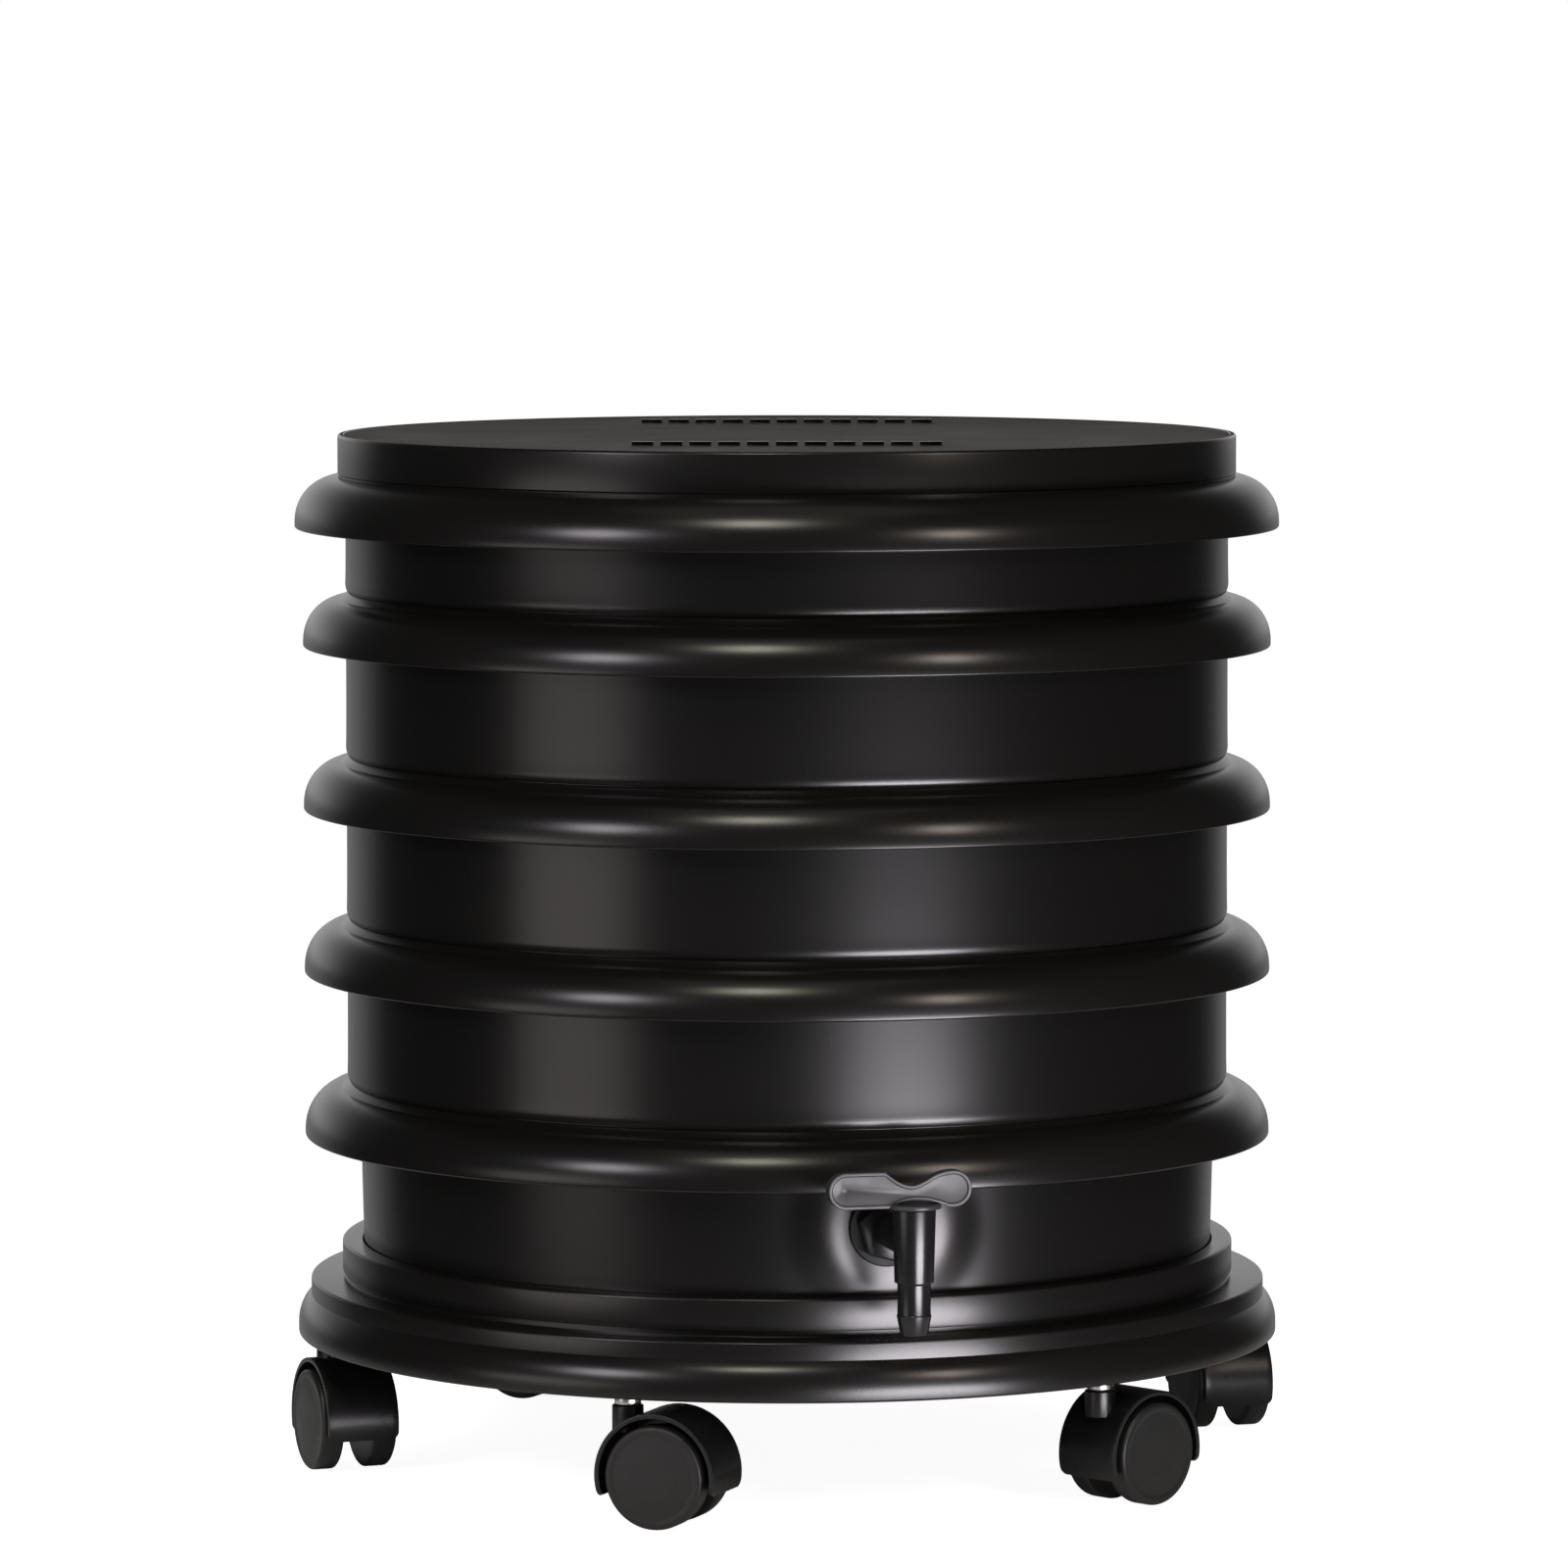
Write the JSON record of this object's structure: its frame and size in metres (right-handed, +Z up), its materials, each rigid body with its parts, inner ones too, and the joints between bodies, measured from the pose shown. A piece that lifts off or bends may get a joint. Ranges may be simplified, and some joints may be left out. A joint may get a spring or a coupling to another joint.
{
  "type": "wormery",
  "caption": "Round stacking wormery on a wheeled plinth: perforated trays with turned-down rims, a flared lid, and a collector basin with a drain tap.",
  "frame": {"origin": "on the drum's vertical axis at floor level, the middle of the part's base", "axes": "+Z up, the way the trays lift; -Y is the front, with the tap 12.8 degrees to the right of it; +X to the right"},
  "size_m": [0.534, 0.5919, 0.5533],
  "materials": {
    "shell": "black moulded polypropylene, semi-gloss",
    "tap": "black moulded nylon, semi-gloss",
    "tap_handle": "dark grey moulded nylon, satin",
    "rubber": "matt",
    "caster": "black moulded nylon, fine texture",
    "steel": "zinc plated"
  },
  "bodies": {
    "plinth": {"plinth": "shell", "caster_1_stem": "steel", "caster_2_stem": "steel", "caster_3_stem": "steel", "caster_4_stem": "steel", "caster_5_stem": "steel", "caster_6_stem": "steel"},
    "basin": {"collector_basin": "shell", "tap_body": "tap", "tap_gasket": "rubber", "tap_washer": "rubber", "tap_back_nut": "tap"},
    "tap_handle": {"tap_handle": "tap_handle"},
    "tray_4": {"tray_4": "shell"},
    "tray_3": {"tray_3": "shell"},
    "tray_2": {"tray_2": "shell"},
    "top_tray": {"top_tray": "shell"},
    "lid": {"lid": "shell"},
    "caster_1": {"caster_1_hood": "caster", "caster_1_axle": "steel"},
    "caster_1_wheel_a": {"caster_1_wheel_a": "caster"},
    "caster_1_wheel_b": {"caster_1_wheel_b": "caster"},
    "caster_2": {"caster_2_hood": "caster", "caster_2_axle": "steel"},
    "caster_2_wheel_a": {"caster_2_wheel_a": "caster"},
    "caster_2_wheel_b": {"caster_2_wheel_b": "caster"},
    "caster_3": {"caster_3_hood": "caster", "caster_3_axle": "steel"},
    "caster_3_wheel_a": {"caster_3_wheel_a": "caster"},
    "caster_3_wheel_b": {"caster_3_wheel_b": "caster"},
    "caster_4": {"caster_4_hood": "caster", "caster_4_axle": "steel"},
    "caster_4_wheel_a": {"caster_4_wheel_a": "caster"},
    "caster_4_wheel_b": {"caster_4_wheel_b": "caster"},
    "caster_5": {"caster_5_hood": "caster", "caster_5_axle": "steel"},
    "caster_5_wheel_a": {"caster_5_wheel_a": "caster"},
    "caster_5_wheel_b": {"caster_5_wheel_b": "caster"},
    "caster_6": {"caster_6_hood": "caster", "caster_6_axle": "steel"},
    "caster_6_wheel_a": {"caster_6_wheel_a": "caster"},
    "caster_6_wheel_b": {"caster_6_wheel_b": "caster"}
  },
  "joints": [
    {"name": "basin_lift", "type": "slide", "parent": "plinth", "child": "basin", "axis": [0, 0, 1], "range_m": [0, 0.12]},
    {"name": "tray_4_lift", "type": "slide", "parent": "basin", "child": "tray_4", "axis": [0, 0, 1], "range_m": [0, 0.12]},
    {"name": "tray_3_lift", "type": "slide", "parent": "tray_4", "child": "tray_3", "axis": [0, 0, 1], "range_m": [0, 0.12]},
    {"name": "tray_2_lift", "type": "slide", "parent": "tray_3", "child": "tray_2", "axis": [0, 0, 1], "range_m": [0, 0.12]},
    {"name": "top_tray_lift", "type": "slide", "parent": "tray_2", "child": "top_tray", "axis": [0, 0, 1], "range_m": [0, 0.12]},
    {"name": "lid_lift", "type": "slide", "parent": "top_tray", "child": "lid", "axis": [0, 0, 1], "range_m": [0, 0.12]},
    {"name": "tap_turn", "type": "hinge", "parent": "basin", "child": "tap_handle", "pos_m": [0.06453, -0.28402, 0.1722], "axis": [0, 0, 1], "range_deg": [0, 90]},
    {"name": "caster_1_swivel", "type": "hinge", "parent": "plinth", "child": "caster_1", "pos_m": [-0.08205, -0.23562, 0.061], "axis": [0, 0, 1], "continuous": true},
    {"name": "caster_1_wheel_a_spin", "type": "hinge", "parent": "caster_1", "child": "caster_1_wheel_a", "pos_m": [-0.06132, -0.24387, 0.0269], "axis": [0.3697, 0.9291, 0], "continuous": true},
    {"name": "caster_1_wheel_b_spin", "type": "hinge", "parent": "caster_1", "child": "caster_1_wheel_b", "pos_m": [-0.06132, -0.24387, 0.0269], "axis": [0.3697, 0.9291, 0], "continuous": true},
    {"name": "caster_2_swivel", "type": "hinge", "parent": "plinth", "child": "caster_2", "pos_m": [0.16303, -0.18887, 0.061], "axis": [0, 0, 1], "continuous": true},
    {"name": "caster_2_wheel_a_spin", "type": "hinge", "parent": "caster_2", "child": "caster_2_wheel_a", "pos_m": [0.17895, -0.17323, 0.0269], "axis": [-0.7009, 0.7133, 0], "continuous": true},
    {"name": "caster_2_wheel_b_spin", "type": "hinge", "parent": "caster_2", "child": "caster_2_wheel_b", "pos_m": [0.17895, -0.17323, 0.0269], "axis": [-0.7009, 0.7133, 0], "continuous": true},
    {"name": "caster_3_swivel", "type": "hinge", "parent": "plinth", "child": "caster_3", "pos_m": [0.24508, 0.04675, 0.061], "axis": [0, 0, 1], "continuous": true},
    {"name": "caster_3_wheel_a_spin", "type": "hinge", "parent": "caster_3", "child": "caster_3_wheel_a", "pos_m": [0.23844, 0.06806, 0.0269], "axis": [-0.9548, -0.2974, 0], "continuous": true},
    {"name": "caster_3_wheel_b_spin", "type": "hinge", "parent": "caster_3", "child": "caster_3_wheel_b", "pos_m": [0.23844, 0.06806, 0.0269], "axis": [-0.9548, -0.2974, 0], "continuous": true},
    {"name": "caster_4_swivel", "type": "hinge", "parent": "plinth", "child": "caster_4", "pos_m": [0.08205, 0.23562, 0.061], "axis": [0, 0, 1], "continuous": true},
    {"name": "caster_4_wheel_a_spin", "type": "hinge", "parent": "caster_4", "child": "caster_4_wheel_a", "pos_m": [0.08783, 0.25718, 0.0269], "axis": [-0.9659, 0.2588, 0], "continuous": true},
    {"name": "caster_4_wheel_b_spin", "type": "hinge", "parent": "caster_4", "child": "caster_4_wheel_b", "pos_m": [0.08783, 0.25718, 0.0269], "axis": [-0.9659, 0.2588, 0], "continuous": true},
    {"name": "caster_5_swivel", "type": "hinge", "parent": "plinth", "child": "caster_5", "pos_m": [-0.16303, 0.18887, 0.061], "axis": [0, 0, 1], "continuous": true},
    {"name": "caster_5_wheel_a_spin", "type": "hinge", "parent": "caster_5", "child": "caster_5_wheel_a", "pos_m": [-0.14277, 0.17951, 0.0269], "axis": [0.4195, 0.9078, 0], "continuous": true},
    {"name": "caster_5_wheel_b_spin", "type": "hinge", "parent": "caster_5", "child": "caster_5_wheel_b", "pos_m": [-0.14277, 0.17951, 0.0269], "axis": [0.4195, 0.9078, 0], "continuous": true},
    {"name": "caster_6_swivel", "type": "hinge", "parent": "plinth", "child": "caster_6", "pos_m": [-0.24508, -0.04675, 0.061], "axis": [0, 0, 1], "continuous": true},
    {"name": "caster_6_wheel_a_spin", "type": "hinge", "parent": "caster_6", "child": "caster_6_wheel_a", "pos_m": [-0.23701, -0.06756, 0.0269], "axis": [0.9323, 0.3616, 0], "continuous": true},
    {"name": "caster_6_wheel_b_spin", "type": "hinge", "parent": "caster_6", "child": "caster_6_wheel_b", "pos_m": [-0.23701, -0.06756, 0.0269], "axis": [0.9323, 0.3616, 0], "continuous": true}
  ]
}
